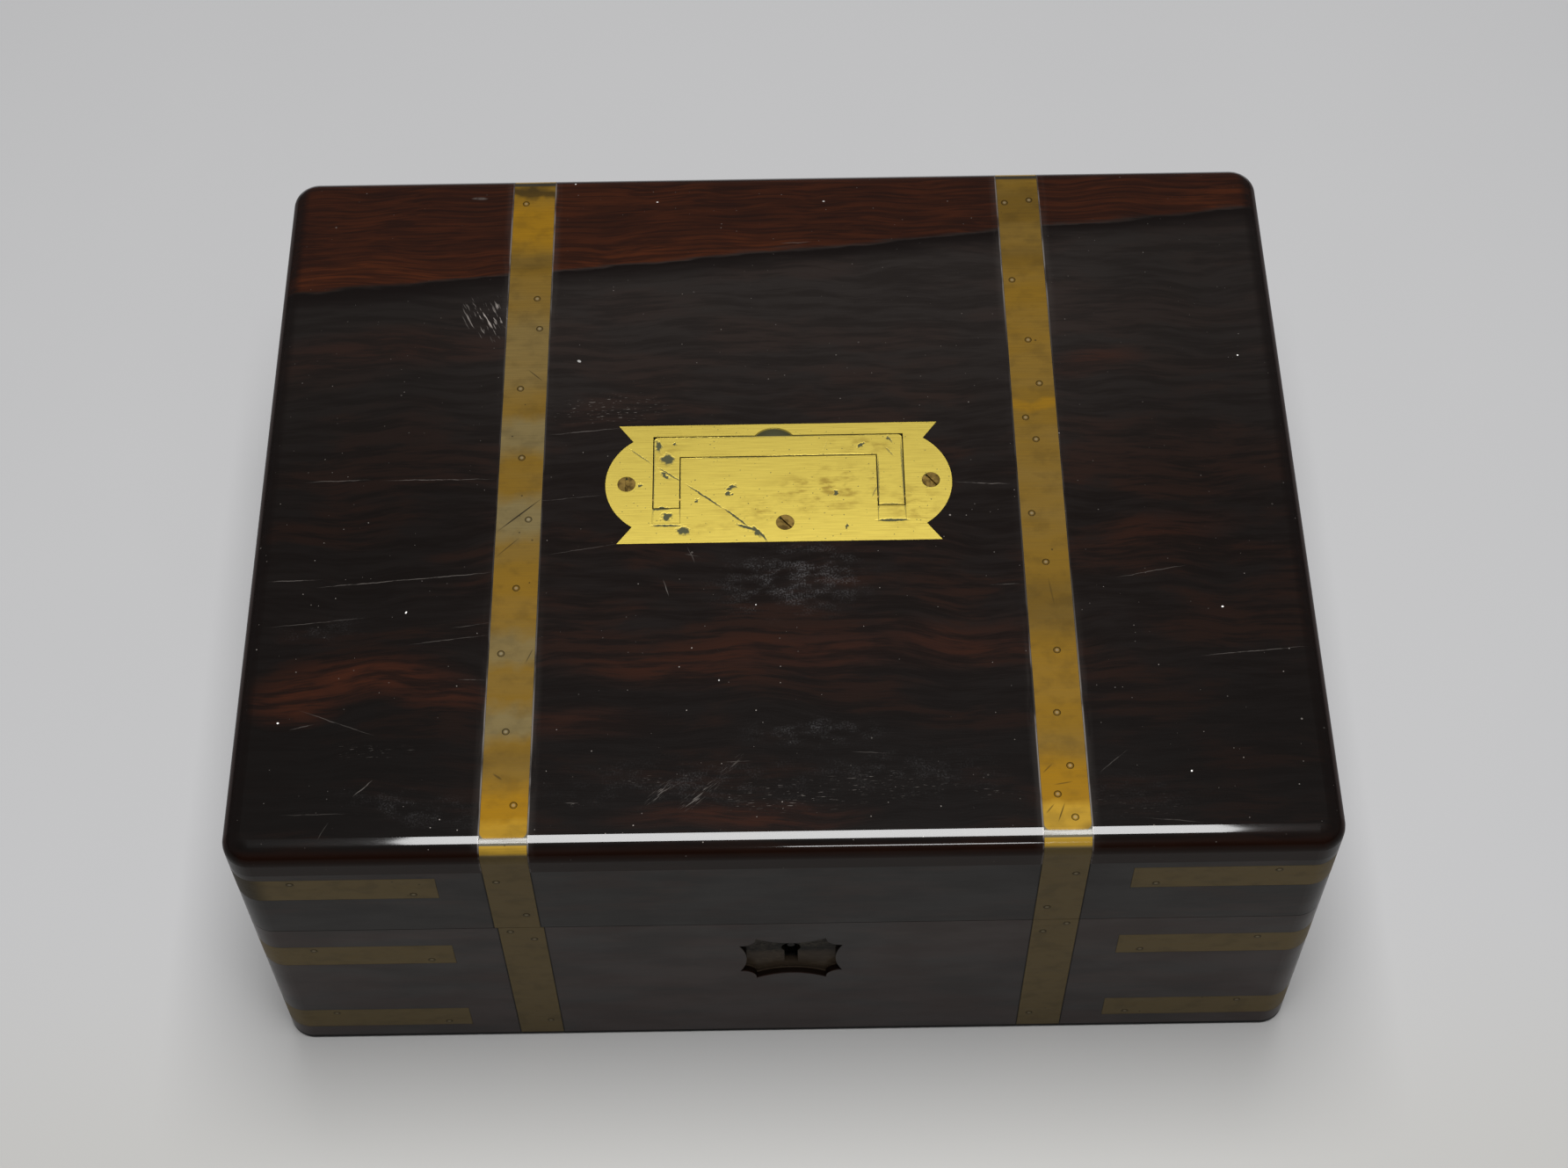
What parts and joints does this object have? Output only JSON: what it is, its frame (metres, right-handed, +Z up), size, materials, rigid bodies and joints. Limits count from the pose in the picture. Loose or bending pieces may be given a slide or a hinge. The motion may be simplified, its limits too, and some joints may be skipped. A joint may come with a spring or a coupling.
{
  "type": "brass-bound travelling box",
  "caption": "Dark hardwood lidded case bound in flush brass straps, with a folding flush handle, box lock, butt hinges and a lined lift-out tray.",
  "frame": {"origin": "middle of the underside of the shut box", "axes": "+X to the right as one faces the keyhole, +Y to the hinges, +Z up"},
  "size_m": [0.305, 0.241, 0.121],
  "materials": {
    "case_wood": "French-polished near-black hardwood",
    "inner_wood": "oiled mahogany",
    "old_brass": "aged, brushed",
    "bright_brass": "worn, brushed",
    "lock_steel": "filed",
    "velvet": "cotton velvet"
  },
  "bodies": {
    "base": {"base_front": "case_wood", "base_back": "case_wood", "base_left": "case_wood", "base_right": "case_wood", "base_floor": "case_wood", "base_straps_front": "old_brass", "base_straps_back": "old_brass", "base_corner_straps_front_left": "old_brass", "base_corner_straps_front_right": "old_brass", "base_corner_straps_back_left": "old_brass", "base_corner_straps_back_right": "old_brass", "base_strap_pins": "old_brass", "liner_front": "inner_wood", "liner_back": "inner_wood", "liner_left": "inner_wood", "liner_right": "inner_wood", "well_lining": "velvet", "tray_rests": "inner_wood", "lock_body": "lock_steel", "lock_cap": "lock_steel", "lock_spring": "lock_steel", "lock_key_pin": "lock_steel", "lock_screws": "lock_steel", "hinge_base_leaf_left": "old_brass", "hinge_base_leaf_right": "old_brass", "hinge_pins": "old_brass", "hinge_base_screws": "old_brass"},
    "lid": {"lid_top": "case_wood", "lid_front": "case_wood", "lid_back": "case_wood", "lid_left": "case_wood", "lid_right": "case_wood", "lid_strap_left": "old_brass", "lid_strap_right": "old_brass", "lid_corner_strap_front_left": "old_brass", "lid_corner_strap_front_right": "old_brass", "lid_corner_strap_back_left": "old_brass", "lid_corner_strap_back_right": "old_brass", "lid_strap_pins": "old_brass", "lid_pad": "velvet", "link_plate": "old_brass", "link_screws": "old_brass", "hinge_lid_leaf_left": "old_brass", "hinge_lid_leaf_right": "old_brass", "hinge_lid_screws": "old_brass", "handle_plate": "bright_brass", "handle_blocks": "bright_brass", "handle_pins": "old_brass", "handle_screws": "old_brass"},
    "handle": {"handle_bail": "bright_brass"},
    "bolt": {"lock_bolt": "lock_steel"},
    "tray": {"tray_front": "inner_wood", "tray_back": "inner_wood", "tray_left": "inner_wood", "tray_right": "inner_wood", "tray_floor": "inner_wood", "tray_divider_long": "inner_wood", "tray_dividers_cross": "inner_wood", "tray_pads": "velvet", "tray_knobs": "bright_brass"}
  },
  "joints": [
    {"name": "lid_hinge", "type": "hinge", "parent": "base", "child": "lid", "pos_m": [0, 0.1177, 0.0755], "axis": [-1, 0, 0], "range_deg": [0, 95]},
    {"name": "handle_hinge", "type": "hinge", "parent": "lid", "child": "handle", "pos_m": [0, -0.005, 0.1195], "axis": [1, 0, 0], "range_deg": [0, 90]},
    {"name": "bolt_slide", "type": "slide", "parent": "base", "child": "bolt", "axis": [1, 0, 0], "range_m": [0, 0.005]},
    {"name": "tray_lift", "type": "slide", "parent": "base", "child": "tray", "axis": [0, 0, 1], "range_m": [0, 0.023]}
  ]
}
